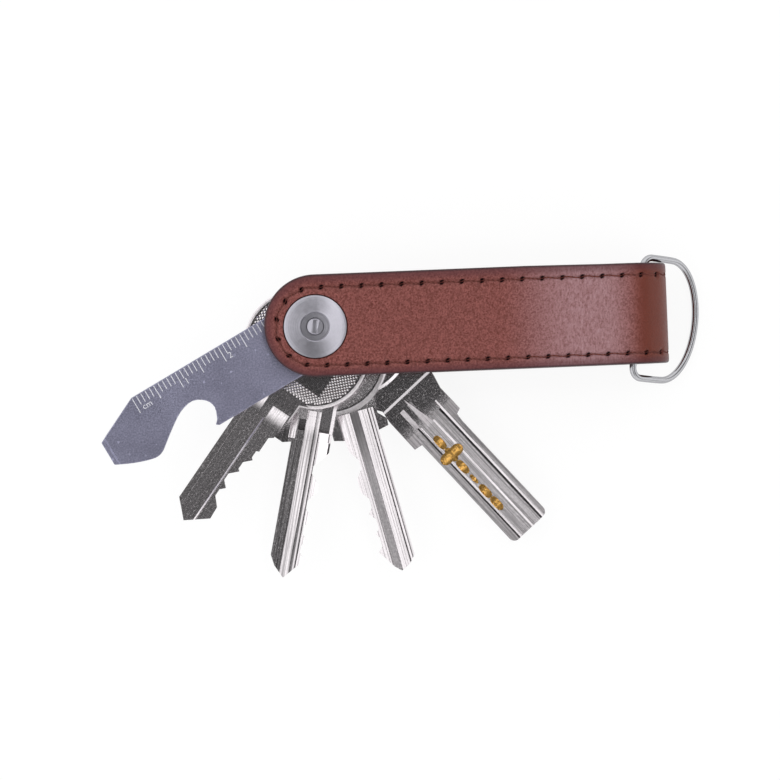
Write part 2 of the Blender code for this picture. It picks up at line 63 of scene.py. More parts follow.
# Strap in side view: flat to EASE_START, then easing into the fold; sampled past the pivot at both ends
EASE_START = 38.0
EASE_SLOPE = 8.0
PAST_PIVOT = 12.0
LINE_SAMPLES = 8000
OUTER_THICK = 1.5
LINING_TOP = 1.6
LINING_BOTTOM = 2.6
STRAP_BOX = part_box("strap_outer")

# Holes for the bolt: the leather's bore, the recess for disc and head, the disc's bore
BORE_RADIUS = 2.8
RECESS_RADIUS = 6.45
RECESS_DEPTH = 1.0
DISC_BORE = 1.8

# The strap's far margin narrows a little on its way to the fold
TAPER = 0.2
TAPER_FROM = 42.0
TAPER_TO = 57.0

# Seam
SEAM_LANE = 7.75
STITCHES = 88
FIRST_HOLE = 1.47
HOLE_SLANT = 35.0
THREAD_RADIUS = 0.15
BOBBIN_RADIUS = 0.14

# Lanes of the leather's face off the strap's middle, closest at the seam
FACE_LANES = (0, 1.5, 3, 4.5, 5.6, 6.3, 6.7, 7.0, 7.2, 7.35, 7.5, 7.62, 7.75, 7.88, 8.0,
              8.15, 8.3, 8.5, 8.8, 9.1)

# Knurls on the first key's bow, which is round about two centres and has a plain panel in its middle
KNURL_CENTRE = (4.8, 0.95)
KNURL_PITCH = 0.76
KNURL_ROWS = 44
KNURL_SUNK = 0.2
KNURL_HEIGHT = 0.11
KNURL_REACH = 9.7
KNURL_END = 9.1
FIELD_RADIUS = 10.05
BOW_CENTRE_OFF = 2.1
PANEL_HALF = (6.35, 7.6)

# Row of drilled pits in the dimple key
PIT_START = 32.225
PIT_PITCH = 3.35
PIT_LINE = 2.35

# Ruler on the tool: pitch of its ticks, the edge they start from and the gaps between fives
TICK_PITCH = 0.995
RULER_EDGE = -6.5
RULER_GAPS = 6

NICKEL_ROUGHNESS = 0.16

# Swing angle of each flat piece on the bolt, in degrees
SWING = {"key_d": 310.8, "key_c": 283.7, "key_b": 257.5, "key_a": 233.4, "multi_tool": 208.6}


class Wire:
    """A socket in a node tree: arithmetic on it adds Math nodes, and node() adds any other node."""

    def __init__(self, tree, socket=None):
        self.tree = tree
        self.socket = socket

    def node(self, kind, settings=None, inputs=None, output=0):
        """Add a node, make its settings, then fill its inputs with values or links."""
        item = self.tree.nodes.new(kind)
        for name, value in (settings or {}).items():
            if name == "stops":
                self.fill_stops(item.color_ramp.elements, value)
            else:
                setattr(item, name, value)
        for name, value in (inputs or {}).items():
            if isinstance(value, Wire):
                self.tree.links.new(value.socket, item.inputs[name])
            else:
                item.inputs[name].default_value = value
        return Wire(self.tree, item.outputs[output] if item.outputs else None)

    @staticmethod
    def fill_stops(elements, stops):
        """Set a ramp's stops from (position, colour) pairs."""
        while len(elements) < len(stops):
            elements.new(1.0)
        for element, (position, colour) in zip(elements, stops):
            element.position = position
            element.color = colour

    def out(self, name):
        """Another output of the node that this wire leaves."""
        return Wire(self.tree, self.socket.node.outputs[name])

    def math(self, operation, *values):
        """A Math node on this wire and other values."""
        return self.node("ShaderNodeMath", {"operation": operation}, dict(enumerate((self, *values))))

    def ease(self, low, high, start=0.0, end=1.0):
        """Map a range of this value smoothly to another range."""
        return self.node("ShaderNodeMapRange", {"interpolation_type": "SMOOTHSTEP"},
                         {"Value": self, "From Min": low, "From Max": high, "To Min": start, "To Max": end})

    def inside(self, low, high):
        """1 where this value lies between two limits."""
        return self.math("GREATER_THAN", low) * self.math("LESS_THAN", high)

    def blend(self, first, second):
        """A colour between two colours, with this wire as the factor."""
        return self.node("ShaderNodeMix", {"data_type": "RGBA"}, {0: self, 6: first, 7: second}, 2)

    def shade(self, colour, low, high):
        """A colour between two brightnesses of one colour."""
        return self.blend(scaled(colour, low), scaled(colour, high))

    def triangle(self, pitch):
        """A wave along this value that rises from 0 to 1 and falls back in each pitch."""
        return abs(((self / pitch).math("FRACT") - 0.5) * 2.0)

    def clip(self, high):
        """This value held between 0 and a limit."""
        return self.math("MAXIMUM", 0.0).math("MINIMUM", high)

    def hypot(self, other):
        """Length of the diagonal over this value and another."""
        return (self * self + other * other).math("SQRT")

    def __add__(self, other):
        return self.math("ADD", other)

    __radd__ = __add__

    def __sub__(self, other):
        return self.math("SUBTRACT", other)

    def __rsub__(self, other):
        return (self * -1.0) + other

    def __mul__(self, other):
        return self.math("MULTIPLY", other)

    __rmul__ = __mul__

    def __truediv__(self, other):
        return self.math("DIVIDE", other)

    def __abs__(self):
        return self.math("ABSOLUTE")


def tint(name, description, default):
    """A setting that holds a colour."""
    return FloatVectorProperty(name=name, description=description, subtype="COLOR", default=default)


class StrapSettings(bpy.types.PropertyGroup):
    """Sizes and colours of the leather and its seam."""

    half_width: FloatProperty(
        name="Half width", description="Half the strap's width", unit="LENGTH",
        default=(STRAP_BOX[1].y - STRAP_BOX[0].y) / 2)
    shift: FloatProperty(
        name="Shift", description="From the pivot across to the middle of the strap's width",
        default=(STRAP_BOX[1].y + STRAP_BOX[0].y) / 2, unit="LENGTH", precision=5)
    height: FloatProperty(
        name="Height", description="Height of the folded strap", default=STRAP_BOX[1].z, unit="LENGTH")
    fold_end: FloatProperty(
        name="Pivot to fold", description="From the pivot to the outside of the fold", default=STRAP_BOX[1].x,
        unit="LENGTH")
    leather: tint("Leather", "Face of the outer leather", (0.200, 0.057, 0.049))
    leather_dark: tint("Leather, dark", "Pores of the leather", (0.104, 0.024, 0.018))
    leather_pale: tint("Leather, pale", "Crests of the leather's grain", (0.310, 0.104, 0.092))
    # Painted highlight where the leather starts to bend
    leather_bend_highlight: tint("Leather, bent", "Paler tone where the leather starts to bend", (0.400, 0.240, 0.262))
    # Painted shade on the fold
    leather_fold_shade: tint("Leather, folded", "Darker tone on the fold", (0.150, 0.034, 0.021))
    margin: tint("Margin", "Leather outside the seam", (0.085, 0.026, 0.033))
    edge: tint("Edge", "Burnished edge of the leather", (0.040, 0.013, 0.017))
    lining: tint("Lining", "Lining leather", (0.105, 0.040, 0.028))
    thread: tint("Thread", "Waxed thread", (0.130, 0.040, 0.033))


class MetalSettings(bpy.types.PropertyGroup):
    """Sizes and colours of the metal pieces."""

    edge_round: FloatProperty(
        name="Edge rounding", description="Rounding on the bolt's edges; the tool's is wider", unit="LENGTH",
        default=0.00012, precision=5)
    rim_chamfer: FloatProperty(
        name="Bow chamfer", description="Chamfer on the rims of the keys' bows", unit="LENGTH",
        default=0.0003, precision=5)
    nickel: tint("Nickel", "Plating of the keys", (0.78, 0.74, 0.76))
    brass: tint("Brass", "Brass in the drilled pits", (0.62, 0.35, 0.095))
    tool: tint("Tool steel", "Satin steel of the tool", (0.295, 0.293, 0.395))
    marks: tint("Etched marks", "Ruler marks on the tool", (0.75, 0.75, 0.80))
    turned: tint("Turned steel", "Disc and bolt", (0.45, 0.44, 0.49))
    wire: tint("Ring wire", "Polished wire of the ring", (0.46, 0.46, 0.48))
    washer: tint("Washers", "Nylon of the washers", (0.03, 0.03, 0.03))


class StageSettings(bpy.types.PropertyGroup):
    """Camera, floor and light."""

    camera: FloatVectorProperty(
        name="Camera", description="Place of the camera", subtype="XYZ", unit="LENGTH",
        default=(0.01426, -0.01312, 0.6185))
    turn: FloatProperty(
        name="Camera turn", description="Turn of the camera about its line of sight", subtype="ANGLE",
        default=math.radians(-2.3))
    lens: FloatProperty(
        name="Lens", description="Focal length", subtype="DISTANCE_CAMERA", default=140.25)
    floor: tint("Floor", "Colour of the floor", (0.8, 0.8, 0.8))
    sky_top: FloatProperty(
        name="Light from above", description="Brightness right above the object", default=0.06)
    sky_side: FloatProperty(
        name="Light from the sides", description="Brightness round the sides", default=1.35)
    soft_box: FloatProperty(
        name="Soft box", description="Extra brightness of the soft box on the fold's side", default=2.0)


def deselect():
    """Leave nothing selected."""
    bpy.ops.object.select_all(action="DESELECT")


def activate(piece):
    """Select one object alone and make it active."""
    deselect()
    piece.select_set(True)
    bpy.context.view_layer.objects.active = piece


def edit(piece):
    """Go into edit mode on one object with all of it selected."""
    activate(piece)
    bpy.ops.object.mode_set(mode="EDIT")
    bpy.ops.mesh.select_all(action="SELECT")


def leave_edit():
    """Go back to object mode."""
    bpy.ops.object.mode_set(mode="OBJECT")


def merge(piece):
    """Close a mesh's seams and turn its faces outwards."""
    edit(piece)
    bpy.ops.mesh.remove_doubles(threshold=1e-6)
    bpy.ops.mesh.select_all(action="SELECT")
    bpy.ops.mesh.normals_make_consistent(inside=False)
    leave_edit()


def select_nothing(piece):
    """Clear the selection inside one mesh."""
    edit(piece)
    bpy.ops.mesh.select_all(action="DESELECT")
    leave_edit()


def join(pieces):
    """Join objects into the first of them."""
    activate(pieces[0])
    for piece in pieces:
        piece.select_set(True)
    bpy.ops.object.join()
    return pieces[0]


def smooth(piece, angle):
    """Smooth shading up to an angle in degrees."""
    activate(piece)
    bpy.ops.object.shade_smooth_by_angle(angle=math.radians(angle))


def apply_modifier(piece, kind, **settings):
    """Add a modifier and apply it."""
    activate(piece)
    modifier = piece.modifiers.new(kind, kind)
    for name, value in settings.items():
        setattr(modifier, name, value)
    bpy.ops.object.modifier_apply(modifier=modifier.name)


def repeat(piece, count, x, y=0.0):
    """Repeat a mesh at even steps, given in mm."""
    apply_modifier(piece, "ARRAY", count=count, use_relative_offset=False, use_constant_offset=True,
                   constant_offset_displace=(x * MM, y * MM, 0))


def settle(piece, name, body, node, slot, *materials):
    """Name a finished piece, give it its materials and set it in the frame."""
    activate(piece)
    bpy.ops.object.transform_apply(location=True, rotation=True, scale=True)
    piece.name = name
    piece.data.name = name
    if materials:
        piece.data.materials.clear()
    for material in materials:
        piece.data.materials.append(material)
    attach(piece, body)
    if node:
        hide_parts(node)


def node_copy(node):
    """A new object with a merged copy of a CAD node's mesh, its flat faces whole again."""
    piece = bpy.data.objects.new(node + "_copy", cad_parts[node].data.copy())
    bpy.context.collection.objects.link(piece)
    edit(piece)
    bpy.ops.mesh.customdata_custom_splitnormals_clear()
    bpy.ops.mesh.remove_doubles(threshold=1e-6)
    bpy.ops.mesh.select_all(action="SELECT")
    bpy.ops.mesh.dissolve_limited(angle_limit=math.radians(0.5))
    leave_edit()
    return piece


def rounded_copy(node, width):
    """A copy of a CAD node with rounded edges and flat faces that stay flat."""
    piece = node_copy(node)
    apply_modifier(piece, "BEVEL", width=width, segments=2, limit_method="ANGLE",
                   angle_limit=math.radians(35), use_clamp_overlap=True)
    smooth(piece, 60)
    apply_modifier(piece, "WEIGHTED_NORMAL", weight=80, keep_sharp=True)
    return piece


def key_copy(node, width, blade_start):
    """A copy of a key with its outline's rim chamfered up to the blade, and the milling left crisp."""
    piece = node_copy(node)
    mesh = piece.data
    turn = Matrix.Rotation(-math.radians(SWING[node]), 3, "Z")
    shortest = [math.inf] * len(mesh.vertices)
    for edge in mesh.edges:
        length = (mesh.vertices[edge.vertices[0]].co - mesh.vertices[edge.vertices[1]].co).length
        for index in edge.vertices:
            shortest[index] = min(shortest[index], length)
    walls = {}
    flats = {}
    for face in mesh.polygons:
        levels = [mesh.vertices[index].co.z for index in face.vertices]
        for key in face.edge_keys:
            walls[key] = walls.get(key, False) or max(levels) - min(levels) > 1.2 * MM
            flats[key] = flats.get(key, False) or abs(face.normal.z) > 0.99
    weights = mesh.attributes.new("bevel_weight_edge", "FLOAT", "EDGE")
    for edge in mesh.edges:
        ends = [turn @ mesh.vertices[index].co / MM for index in edge.vertices]
        outside = all(end.x < blade_start and end.xy.length > 4.0 for end in ends)
        roomy = all(shortest[index] > 2 * width for index in edge.vertices)
        weights.data[edge.index].value = float(outside and roomy and walls[edge.key] and flats[edge.key])
    apply_modifier(piece, "BEVEL", width=width, segments=1, limit_method="WEIGHT", use_clamp_overlap=True)
    smooth(piece, 16)
    apply_modifier(piece, "WEIGHTED_NORMAL", weight=80, keep_sharp=True)
    return piece


def lathe(profile, steps=96):
    """A solid turned about the pivot axis, from a profile of (radius, height) in mm."""
    deselect()
    bpy.ops.mesh.primitive_plane_add(size=MM)
    piece = bpy.context.object
    edit(piece)
    bpy.ops.mesh.merge(type="CENTER")
    place = Vector((0, 0, 0))
    for index, (radius, height) in enumerate(profile):
        move = Vector((radius * MM, 0, height * MM)) - place
        place += move
        if index == 0:
            bpy.ops.transform.translate(value=move)
        else:
            bpy.ops.mesh.extrude_vertices_move(TRANSFORM_OT_translate={"value": move})
    bpy.ops.mesh.select_all(action="SELECT")
    bpy.ops.mesh.spin(steps=steps, angle=2 * math.pi, center=(0, 0, 0), axis=(0, 0, 1))
    leave_edit()
    merge(piece)
    return piece


def cut(piece, cutter):
    """Cut one object out of another and remove the cutter."""
    apply_modifier(piece, "BOOLEAN", operation="DIFFERENCE", solver="EXACT", object=cutter)
    bpy.data.objects.remove(cutter, do_unlink=True)


def new_material(name, constants):
    """A Principled material with constant socket values; returns it with a wire to build on."""
    material = bpy.data.materials.new(name)
    material.use_nodes = True
    shader = material.node_tree.nodes["Principled BSDF"]
    for socket, value in constants.items():
        shader.inputs[socket].default_value = value
    return material, Wire(material.node_tree)


def connect(material, height=None, relief=1.0, **wires):
    """Link wires to a material's Principled sockets; height is in millimetres and makes a bump."""
    tree = material.node_tree
    shader = tree.nodes["Principled BSDF"]
    names = {"colour": "Base Color", "roughness": "Roughness", "metallic": "Metallic"}
    for key, wire in wires.items():
        tree.links.new(wire.socket, shader.inputs[names[key]])
    if height:
        bump = height.node("ShaderNodeBump", None, {"Height": height, "Distance": MM, "Strength": relief})
        tree.links.new(bump.socket, shader.inputs["Normal"])


def local(start, angle=0.0, centre=(0.0, 0.0, 0.0)):
    """Object coordinates in millimetres, turned so that X runs along a piece at that swing angle."""
    place = start.node("ShaderNodeTexCoord", output="Object")
    return start.node("ShaderNodeMapping", None, {
        "Vector": place, "Rotation": (0, 0, -math.radians(angle)), "Location": [-value for value in centre],
        "Scale": (1000, 1000, 1000)})


def stretched(place, *scale):
    """The same place with each axis scaled."""
    return place.node("ShaderNodeMapping", None, {"Vector": place, "Scale": scale})


def split(place):
    """The three parts of a position."""
    parts = place.node("ShaderNodeSeparateXYZ", None, {"Vector": place})
    return parts, parts.out("Y"), parts.out("Z")


def noise(place, scale, detail=3.0, roughness=0.55):
    """Noise of that many features to a millimetre."""
    return place.node("ShaderNodeTexNoise", None, {
        "Vector": place, "Scale": scale, "Detail": detail, "Roughness": roughness})


def cells(place, scale):
    """Cells of that many to a millimetre, each with its own random level."""
    return place.node("ShaderNodeTexVoronoi", None, {"Vector": place, "Scale": scale}, "Color")


def opaque(colour):
    """A colour with its alpha."""
    return (*colour, 1.0)


def scaled(colour, factor):
    """A lighter or darker version of a colour, with its alpha."""
    return (*[value * factor for value in colour], 1.0)


def leather_material(settings):
    """Waxed leather: speckled grain that creases towards the fold, dark margins, a painted highlight where it
    starts to bend, and painted shade on the fold and in the needle holes.
    """
    material, start = new_material("saddle leather", {"Roughness": 0.4, "Specular IOR Level": 0.22})
    place = local(start)
    x, _, _ = split(place)
    grain = (noise(place, 2.6, 2.0, 0.6) * 0.6 + cells(place, 3.6) * 0.4).ease(0.24, 0.76)
    creased = stretched(place, 1.0, 0.38, 1.0)
    creases = (noise(creased, 2.4, 2.0, 0.6) * 0.6 + cells(creased, 4.0) * 0.4).ease(0.24, 0.76)
    cloud = noise(place, 0.09, 3.0)
    wear = start.node("ShaderNodeAttribute", {"attribute_name": "wear"}, output="Color")
    parts = start.node("ShaderNodeSeparateColor", None, {"Color": wear})
    margin, hole, groove = parts, parts.out("Green"), parts.out("Blue")

    bend = x.ease(36.0, 53.0) * x.ease(65.0, 57.0)
    crests = grain * (1.0 - bend * 0.6) + creases * bend * 0.6
    face = crests.blend(opaque(settings.leather_dark), opaque(settings.leather_pale))
    toned = cloud.ease(0.3, 0.7).shade(settings.leather, 0.95, 1.05)
    face = face.node("ShaderNodeMix", {"data_type": "RGBA"}, {0: 0.2, 6: face, 7: toned}, 2)
    # Painted highlight on the band where the leather starts to bend, speckled with the grain
    face = (bend * (0.22 + crests * 0.72)).blend(face, opaque(settings.leather_bend_highlight))
    # Painted shade on the fold
    face = x.ease(62.0, 66.0).blend(face, opaque(settings.leather_fold_shade))
    face = (groove * 0.35).blend(face, opaque(settings.leather_dark))
    face = (margin.ease(0.05, 0.7) * 0.6).blend(face, opaque(settings.margin))
    face = margin.ease(0.72, 0.97).blend(face, opaque(settings.edge))
    # Painted shade in the needle holes
    face = hole.ease(0.2, 0.6).blend(face, scaled(settings.edge, 0.3))
    height = crests * 0.03 + noise(place, 4.5, 2.0) * 0.012
    connect(material, height, colour=face, roughness=0.36 + crests * -0.06 + margin * -0.06 + cloud * 0.06)
    return material


def lining_material(settings):
    """Plain matte lining leather with a fine nap."""
    material, start = new_material("lining leather", {"Roughness": 0.75})
    place = local(start)
    nap = noise(place, 3.2, 4.0, 0.65)
    colour = nap.ease(0.3, 0.7).shade(settings.lining, 0.75, 1.2)
    connect(material, nap * 0.03, colour=colour, roughness=0.65 + nap * 0.2)
    return material


def thread_material(settings):
    """Dark waxed thread with a slight twist."""
    material, start = new_material("waxed thread", {"Roughness": 0.8, "Specular IOR Level": 0.15})
    strands = start.node("ShaderNodeTexWave", {"bands_direction": "DIAGONAL"}, {
        "Vector": local(start), "Scale": 0.8, "Distortion": 1.0})
    strands = strands.out("Fac")
    colour = strands.shade(settings.thread, 0.7, 1.35)
    connect(material, strands * 0.03, colour=colour, roughness=0.75 + strands * 0.15)
    return material


def turned_material(settings):
    """Steel with faint turning marks round the pivot axis, and painted shade in its sunk middle."""
    material, start = new_material("turned steel", {"Metallic": 1.0, "Roughness": 0.3})
    place = local(start)
    x, y, _ = split(place)
    radius = x.hypot(y)
    uneven = noise(place, 1.4, 3.0)
    marks = (radius + uneven * 0.05).triangle(0.45)
    colour = uneven.ease(0.3, 0.7).shade(settings.turned, 0.95, 1.05)
    # Painted shade in the sunk middle round the bolt
    colour = radius.ease(3.1, 2.7).blend(colour, scaled(settings.turned, 0.86))
    connect(material, marks * 0.006, colour=colour, roughness=0.25 + uneven * 0.12)
    return material


def tool_material(settings):
    """Satin tumbled steel with a fine even grain."""
    material, start = new_material("satin steel", {"Metallic": 1.0, "Roughness": 0.42})
    place = local(start)
    grain = noise(place, 3.0, 2.0, 0.65)
    cloud = noise(place, 0.15, 2.0)
    scratches = noise(stretched(local(start, SWING["multi_tool"] + 24), 0.12, 2.2, 1.0), 2.2, 2.0)
    tone = (grain * 0.7 + cloud * 0.3).ease(0.3, 0.72)
    colour = tone.shade(settings.tool, 0.7, 1.22)
    colour = cells(place, 2.4).ease(0.9, 0.97).blend(colour, scaled(settings.tool, 1.6))
    roughness = 0.36 + grain * 0.12 + scratches.ease(0.66, 0.72) * -0.08
    connect(material, grain * 0.007, colour=colour, roughness=roughness)
    return material


def marks_material(settings):
    """Pale frosted etching."""
    material, start = new_material("etched mark", {"Metallic": 0.35, "Roughness": 0.6})
    grain = noise(local(start), 6.0, 2.0)
    colour = grain.ease(0.3, 0.7).shade(settings.marks, 0.85, 1.0)
    connect(material, grain * 0.004, colour=colour, roughness=0.5 + grain * 0.2)
    return material


def nickel_material(name, settings, angle, detail, mottle):
    """Worn nickel plate; detail(x, y) gives height in mm, then painted shade and other darkening, streaks,
    satin and maybe brass.
    """
    material, start = new_material(name, {"Metallic": 1.0, "Roughness": NICKEL_ROUGHNESS})
    place = local(start, angle)
    x, y, _ = split(place)
    worn = noise(place, 2.4, 3.0, 0.65)
    drawn = noise(stretched(place, 0.04, 2.4, 1.0), 1.6, 2.0)
    height, shade_and_darkening, streaks, satin, *brass = detail(x, y)
    colour = worn.ease(0.3, 0.7).shade(settings.nickel, 0.88, 1.06)
    colour = (streaks * drawn.ease(0.6, 0.36)).blend(colour, scaled(settings.nickel, 0.3))
    # Painted shade in recesses, with other darker patches, blended towards near-black
    colour = (shade_and_darkening * (0.7 + worn * 0.5)).blend(colour, (0.022, 0.018, 0.022, 1.0))
    if brass:
        bare = worn.ease(0.36, 0.64).shade(settings.brass, 0.35, 1.1)
        colour = brass[0].blend(colour, bare)
    roughness = NICKEL_ROUGHNESS - 0.05 + worn * 0.1 + satin * 0.3 + worn.ease(0.5, 0.72) * mottle
    connect(material, height + drawn * 0.006, colour=colour, roughness=roughness)
    return material


def key_a_detail(x, y):
    """Painted shade between the knurls, a darker panel, a satin rim, and a darker, duller neck beside the
    milled run-outs.
    """
    ahead = x - KNURL_CENTRE[0]
    across = y - KNURL_CENTRE[1]
    lines = (ahead + across).triangle(KNURL_PITCH).math("MAXIMUM", (ahead - across).triangle(KNURL_PITCH))
    on_bow = x.math("LESS_THAN", 14.0)
    bow = ahead.hypot((abs(across) - BOW_CENTRE_OFF).math("MAXIMUM", 0.0))
    along_half, across_half = PANEL_HALF
    panel = ahead.inside(-along_half, along_half) * across.inside(-across_half, across_half)
    knurled = on_bow * bow.math("LESS_THAN", FIELD_RADIUS) * (1.0 - panel)
    # Painted shade between the knurls; the plain panel is darker
    field = knurled * lines.ease(0.78, 0.92) * 0.95 + panel * 0.4
    high_side = y.inside(1.85, 5.65)
    low_side = y.inside(-2.2, 0.05)
    high_start, low_start, length = 17.7, 16.6, 4.5
    fall = (x - high_start).clip(length) * high_side + (x - low_start).clip(length) * low_side
    height = fall * (fall - 2 * length) * 0.028
    runouts = x.math("GREATER_THAN", high_start) * high_side + x.math("GREATER_THAN", low_start) * low_side
    rim = bow.inside(FIELD_RADIUS, 10.8) * on_bow
    dull = (1.0 - on_bow) * (1.0 - runouts) * x.ease(16.0, 19.0, 0.35, 0.0)
    return height, dull + field, x.ease(13.0, 18.0) * 0.25, rim + (1.0 - on_bow) * 0.13


def key_b_detail(x, y):
    """Painted shade in the pocket, a darker neck, and a dull rebate beside the bright drawn ribs."""
    blade = x.ease(19.0, 22.0)
    pocket = x.inside(18.5, 20.8) * y.inside(-0.05, 1.35)
    rebate = x.math("GREATER_THAN", 20.8) * y.inside(-1.5, 1.4)
    neck = x.inside(14.5, 20.6) * y.inside(4.2, 6.3)
    # Painted shade in the pocket; the neck is darker
    shade_and_darkening = pocket * 0.8 + neck * 0.6
    low_side = (y + 1.6).clip(1.35) * x.inside(17.7, 22.6)
    high_side = (y - 6.3).clip(0.9) * x.inside(14.5, 22.4)
    streaks = blade * (y.ease(6.2, 4.2) * 0.5 + 0.3)
    return (low_side + high_side) * 0.26, shade_and_darkening, streaks, (1.0 - blade) * 0.35 + rebate * 0.2


def key_c_detail(x, y):
    """A streaked channel that is darkest near the bow, and painted shade in the corners of the bow's sunk
    ring.
    """
    blade = x.ease(17.5, 19.0)
    channel = blade * y.inside(1.6, 3.38)
    from_middle = (x - 6.4).hypot(y - 0.65)
    # Painted shade in the corners of the bow's sunk ring
    corners = (from_middle.inside(10.7, 11.05) + from_middle.inside(8.15, 8.5)) * (1.0 - blade)
    satin = channel * 0.5 + (1.0 - blade) * (from_middle.inside(11.05, 12.05) * 0.5 + 0.18)
    shade_and_darkening = channel * x.ease(20.0, 32.0, 0.6, 0.05) + corners * 0.7
    return 0.0, shade_and_darkening, blade * 0.3, satin


def key_d_detail(x, y):
    """A dark neck with gleaming run-outs, drawn lands, painted shade in the grooves and brass worn bare round
    the pits.
    """
    blade = x.ease(26.0, 30.0)
    # Painted shade in the grooves
    grooves = (y.inside(6.75, 7.2) + y.inside(0.85, 1.2)) * x.math("GREATER_THAN", 28.8)
    margins = abs(y - 4.0).ease(3.2, 4.4) * blade
    bow = ((x - 6.2).hypot(y - 3.9) - 11.4).clip(0.6)
    from_point = x - 23.3
    wedge = (y + from_point * 0.05).math("GREATER_THAN", 2.85)
    wedge = wedge * (y - from_point * 0.2).math("LESS_THAN", 3.05)
    gleams = (wedge + y.inside(0.5, 1.5) * x.math("GREATER_THAN", 24.0)) * x.ease(30.5, 28.5)
    ends = x.inside(29.0, 31.7) * abs(y - 4.0).math("GREATER_THAN", 4.2)
    shade_and_darkening = grooves * 0.95 + margins * 0.3 + (1.0 - blade) * (1.0 - gleams) * 0.35
    along = ((x - PIT_START) / PIT_PITCH).math("FRACT") * 2.0 - 1.0
    offset = (y - PIT_LINE) / 0.78
    reach = 1.0 - x.inside(42.3, 45.6) * 0.75
    brass = x.inside(32.2, 52.4) * (along.math("POWER", 4.0) + offset * offset).math("LESS_THAN", reach)
    return bow * -0.19, shade_and_darkening, blade * 0.6, blade * 0.52 + gleams * 1.3 + ends * 0.8, brass


def brass_material(settings):
    """Brass of the drilled pits, bright in the middle of each and brown at its ends."""
    material, start = new_material("pit brass", {"Metallic": 1.0, "Roughness": 0.25})
    place = local(start, SWING["key_d"], (PIT_START, PIT_LINE, 0.0))
    x, _, _ = split(place)
    along = abs(((x / PIT_PITCH).math("FRACT") - 0.5) * PIT_PITCH)
    uneven = noise(place, 1.7, 2.0)
    ends = (along + uneven * 0.8).ease(0.75, 1.25)
    worn = uneven.ease(0.36, 0.62).shade(settings.brass, 0.55, 1.6)
    colour = ends.blend(worn, scaled(settings.brass, 0.4))
    connect(material, along * 0.3 + uneven * 0.3, colour=colour, roughness=0.2 + uneven * 0.15)
    return material


def wire_material(settings):
    """Polished steel wire with faint drawing lines."""
    material, start = new_material("polished wire", {"Metallic": 1.0, "Roughness": 0.14})
    place = local(start)
    drawn = noise(place, 1.8, 4.0, 0.7)
    colour = drawn.ease(0.3, 0.7).shade(settings.wire, 0.85, 1.0)
    connect(material, drawn * 0.006, colour=colour, roughness=0.1 + drawn * 0.1)
    return material


def washer_material(settings):
    """Black nylon with a faint moulded grain."""
    material, start = new_material("black nylon", {"Roughness": 0.55})
    grain = noise(local(start), 5.0, 2.0)
    colour = grain.shade(settings.washer, 1.0, 1.6)
    connect(material, grain * 0.006, colour=colour, roughness=0.45 + grain * 0.2)
    return material


def strap_line(settings):
    """The strap's outside in side view, in mm: distance along it, X, Z and slope angle at close samples."""
    height = settings.height / MM
    fold = settings.fold_end / MM
    slope = math.radians(EASE_SLOPE)
    start = fold - height / 2
    for _ in range(12):
        radius = (height - slope * (start - EASE_START) / 3) / (1 + math.cos(slope))
        start = fold - radius * (1 - math.sin(slope))
    turn = radius * (math.pi - slope)
    length = start + turn + start - radius * math.sin(slope)
    along = np.linspace(-PAST_PIVOT, length + PAST_PIVOT, LINE_SAMPLES)
    eased = slope * np.clip((along - EASE_START) / (start - EASE_START), 0, 1) ** 2
    angle = eased + np.clip((along - start) / turn, 0, 1) * (math.pi - slope)
    step = along[1] - along[0]
    x = -PAST_PIVOT + np.concatenate(([0], np.cumsum((np.cos(angle[1:]) + np.cos(angle[:-1])) / 2 * step)))
    drop = np.concatenate(([0], np.cumsum((np.sin(angle[1:]) + np.sin(angle[:-1])) / 2 * step)))
    return {"length": length, "along": along, "x": x, "z": height * (1 - drop / drop[-1]), "angle": angle}


def on_strap(line, along, across, depth):
    """Places in metres from distances along and across the strap and the depth below its outside."""
    x = np.interp(along, line["along"], line["x"])
    z = np.interp(along, line["along"], line["z"])
    angle = np.interp(along, line["along"], line["angle"])
    return np.stack([x - depth * np.sin(angle), across, z - depth * np.cos(angle)], axis=-1) * MM


def track(line, distance):
    """For distances round the seam: the point of the strap's middle line beside it, and the way outwards."""
    length = line["length"]
    bend = math.pi * SEAM_LANE
    distance = np.mod(distance, 2 * (length + bend))
    far = np.clip((distance - length) / bend, 0, 1) * math.pi
    near = np.clip((distance - 2 * length - bend) / bend, 0, 1) * math.pi
    angle = math.pi / 2 - far - near
    middle = np.clip(distance, 0, length) - np.clip(distance - length - bend, 0, length)
    return middle, np.cos(angle), np.sin(angle)


def seam_length(line):
    """Distance right round the seam."""
    return 2 * (line["length"] + math.pi * SEAM_LANE)


def from_hole(line, distance):
    """Signed distance along the seam to the nearest needle hole."""
    pitch = seam_length(line) / STITCHES
    return np.mod(distance - FIRST_HOLE + pitch / 2, pitch) - pitch / 2


